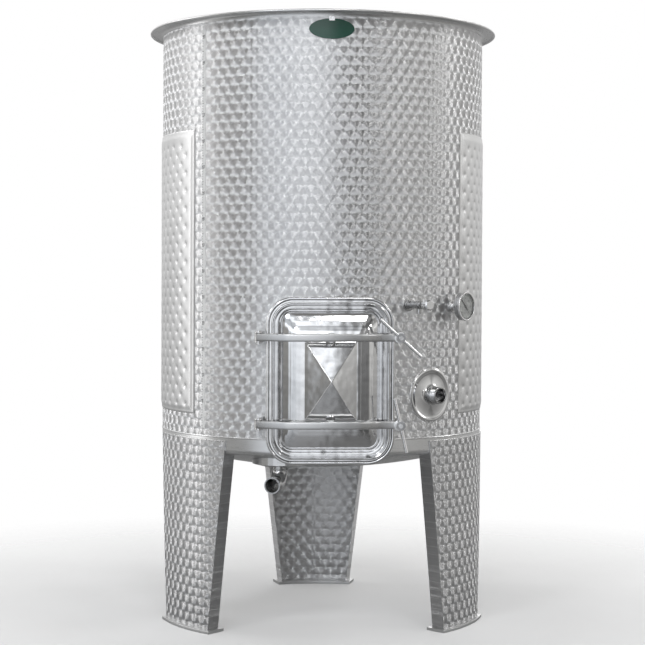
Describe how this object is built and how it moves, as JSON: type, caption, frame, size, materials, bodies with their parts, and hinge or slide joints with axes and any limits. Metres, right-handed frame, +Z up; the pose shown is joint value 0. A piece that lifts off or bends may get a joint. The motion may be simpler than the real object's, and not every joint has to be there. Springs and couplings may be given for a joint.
{
  "type": "conical fermenter",
  "caption": "Open-topped jacketed steel vat on sheet legs, with a dished bottom, a bolted doorway, a dial thermometer, a sampling valve and drain outlets.",
  "frame": {"origin": "on the tank's axis at floor level", "axes": "+Z up along the tank's axis, -Y towards the doorway in front, +X to the right as seen from the front"},
  "size_m": [1.0797, 1.1379, 1.8115],
  "materials": {
    "marbled_steel": "engine-turned (marbled) stainless steel",
    "satin_steel": "satin stainless steel",
    "jacket_steel": "matt pickled stainless steel",
    "polished_steel": "mirror-polished stainless steel",
    "turned_steel": "turned stainless steel",
    "gasket_rubber": "smooth",
    "scale_print": "printed strip",
    "badge_enamel": "gloss enamel",
    "dial_white": "matt",
    "pointer_black": "matt",
    "gauge_glass": "clear"
  },
  "bodies": {
    "tank": {"shell": "marbled_steel", "left_leg": "marbled_steel", "right_leg": "marbled_steel", "rear_leg": "marbled_steel", "rim": "satin_steel", "bottom": "satin_steel", "drain_sump": "satin_steel", "left_foot": "satin_steel", "right_foot": "satin_steel", "rear_foot": "satin_steel", "cooling_jacket": "jacket_steel", "manway_frame": "polished_steel", "racking_plate": "polished_steel", "racking_nozzle": "polished_steel", "drain_elbow": "turned_steel", "jacket_inlet": "turned_steel", "jacket_outlet": "turned_steel", "badge_clip": "turned_steel", "upper_hinge_bracket": "turned_steel", "lower_hinge_bracket": "turned_steel", "upper_hinge_pin": "turned_steel", "lower_hinge_pin": "turned_steel", "upper_clamp_lug": "turned_steel", "lower_clamp_lug": "turned_steel", "upper_lug_pin": "turned_steel", "lower_lug_pin": "turned_steel", "sample_boss": "turned_steel", "sample_body": "turned_steel", "thermowell": "turned_steel", "thermometer_nut": "turned_steel", "thermometer_stem": "turned_steel", "thermometer_case": "turned_steel", "thermometer_bezel": "turned_steel", "volume_scale": "scale_print", "badge_plate": "badge_enamel", "thermometer_dial": "dial_white", "thermometer_glass": "gauge_glass"},
    "door": {"manway_gasket": "gasket_rubber", "manway_lid": "polished_steel", "upper_bar": "polished_steel", "lower_bar": "polished_steel", "upper_studs": "turned_steel", "lower_studs": "turned_steel"},
    "upper_bolt": {"upper_swing_bolt": "turned_steel"},
    "lower_bolt": {"lower_swing_bolt": "turned_steel"},
    "upper_washer": {"upper_washer": "turned_steel"},
    "lower_washer": {"lower_washer": "turned_steel"},
    "upper_handle": {"upper_handle_hub": "turned_steel", "upper_handle_rods": "turned_steel"},
    "lower_handle": {"lower_handle_hub": "turned_steel", "lower_handle_rods": "turned_steel"},
    "valve_stem": {"sample_stem": "turned_steel"},
    "valve_knob": {"sample_knob": "turned_steel"},
    "gauge_pointer": {"thermometer_pointer": "pointer_black"}
  },
  "joints": [
    {"name": "door_swing", "type": "hinge", "parent": "tank", "child": "door", "pos_m": [-0.204, -0.53, 0.757], "axis": [0, 0, -1], "range_deg": [0, 110]},
    {"name": "upper_bolt_swing", "type": "hinge", "parent": "tank", "child": "upper_bolt", "pos_m": [0.196, -0.5, 0.881], "axis": [0, 0, 1], "range_deg": [0, 90]},
    {"name": "upper_washer_slide", "type": "slide", "parent": "upper_bolt", "child": "upper_washer", "axis": [0, -1, 0], "range_m": [0, 0.0081]},
    {"name": "upper_handle_turn", "type": "hinge", "parent": "upper_washer", "child": "upper_handle", "pos_m": [0.196, -0.584, 0.881], "axis": [0, -1, 0], "range_deg": [0, 1440]},
    {"name": "lower_bolt_swing", "type": "hinge", "parent": "tank", "child": "lower_bolt", "pos_m": [0.196, -0.5, 0.633], "axis": [0, 0, 1], "range_deg": [0, 90]},
    {"name": "lower_washer_slide", "type": "slide", "parent": "lower_bolt", "child": "lower_washer", "axis": [0, -1, 0], "range_m": [0, 0.0081]},
    {"name": "lower_handle_turn", "type": "hinge", "parent": "lower_washer", "child": "lower_handle", "pos_m": [0.196, -0.584, 0.633], "axis": [0, -1, 0], "range_deg": [0, 1440]},
    {"name": "valve_stem_slide", "type": "slide", "parent": "tank", "child": "valve_stem", "axis": [0.4602, -0.8878, 0], "range_m": [0, 0.0045]},
    {"name": "valve_knob_turn", "type": "hinge", "parent": "valve_stem", "child": "valve_knob", "pos_m": [0.27612, -0.53269, 0.974], "axis": [0.4602, -0.8878, 0], "range_deg": [0, 1080]},
    {"name": "pointer_turn", "type": "hinge", "parent": "tank", "child": "gauge_pointer", "pos_m": [0.40766, -0.36322, 0.968], "axis": [0.7466, -0.6652, 0], "range_deg": [-90, 180]}
  ],
  "couplings": [
    {"joint": "upper_washer_slide", "follows": "upper_handle_turn", "m_per_rad": 0.000318},
    {"joint": "lower_washer_slide", "follows": "lower_handle_turn", "m_per_rad": 0.000318},
    {"joint": "valve_knob_turn", "follows": "valve_stem_slide", "rad_per_m": 4188.8}
  ]
}
